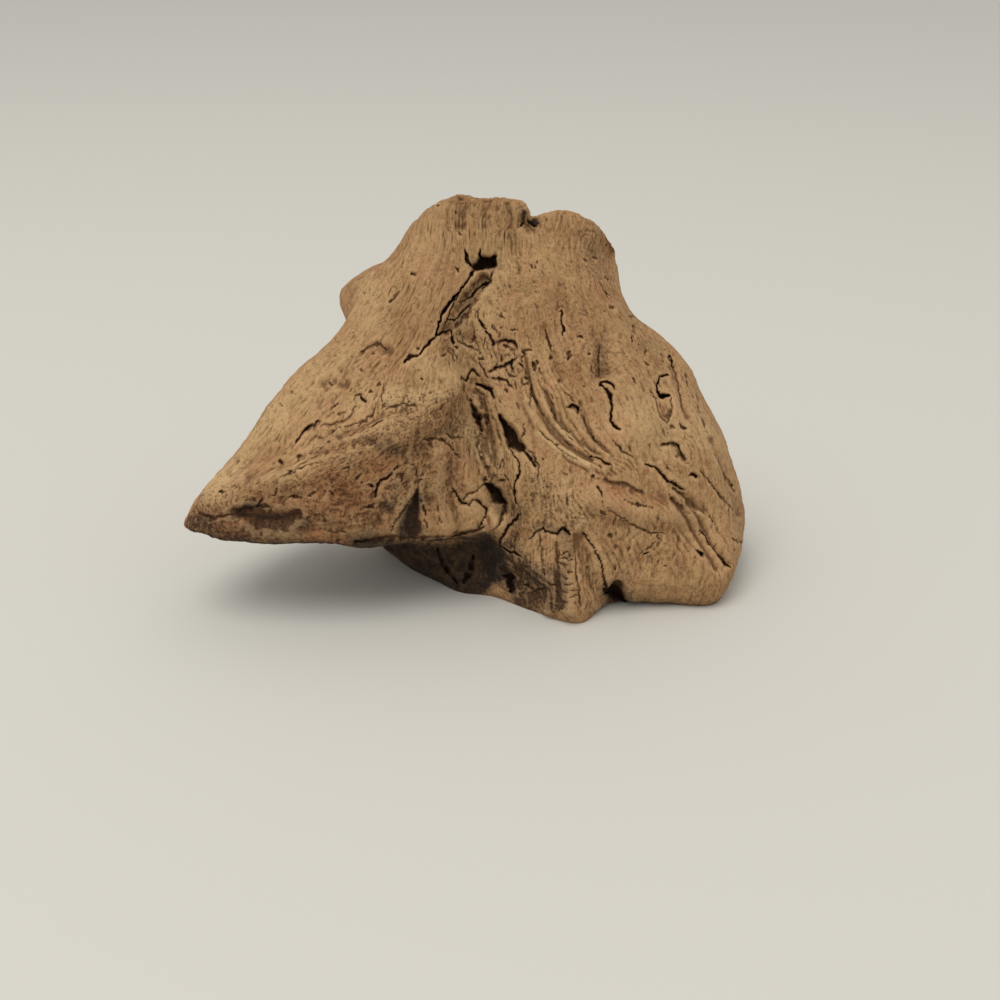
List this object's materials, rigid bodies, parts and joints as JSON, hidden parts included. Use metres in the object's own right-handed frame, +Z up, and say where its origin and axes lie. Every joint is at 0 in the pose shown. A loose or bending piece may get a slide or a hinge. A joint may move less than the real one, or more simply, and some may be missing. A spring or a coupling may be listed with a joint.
{
  "type": "driftwood piece",
  "caption": "Weathered root of driftwood with a pointed overhanging lobe, deep cracks and flowing grain.",
  "frame": {"origin": "on the ground, under the middle of the piece's bounding box", "axes": "+X from the pointed lobe towards the broad skirt, +Y away from the carved front, +Z up from the foot"},
  "size_m": [0.284, 0.1624, 0.1978],
  "materials": {
    "weathered_wood": "matte"
  },
  "bodies": {
    "root": {"driftwood": "weathered_wood"}
  },
  "joints": []
}
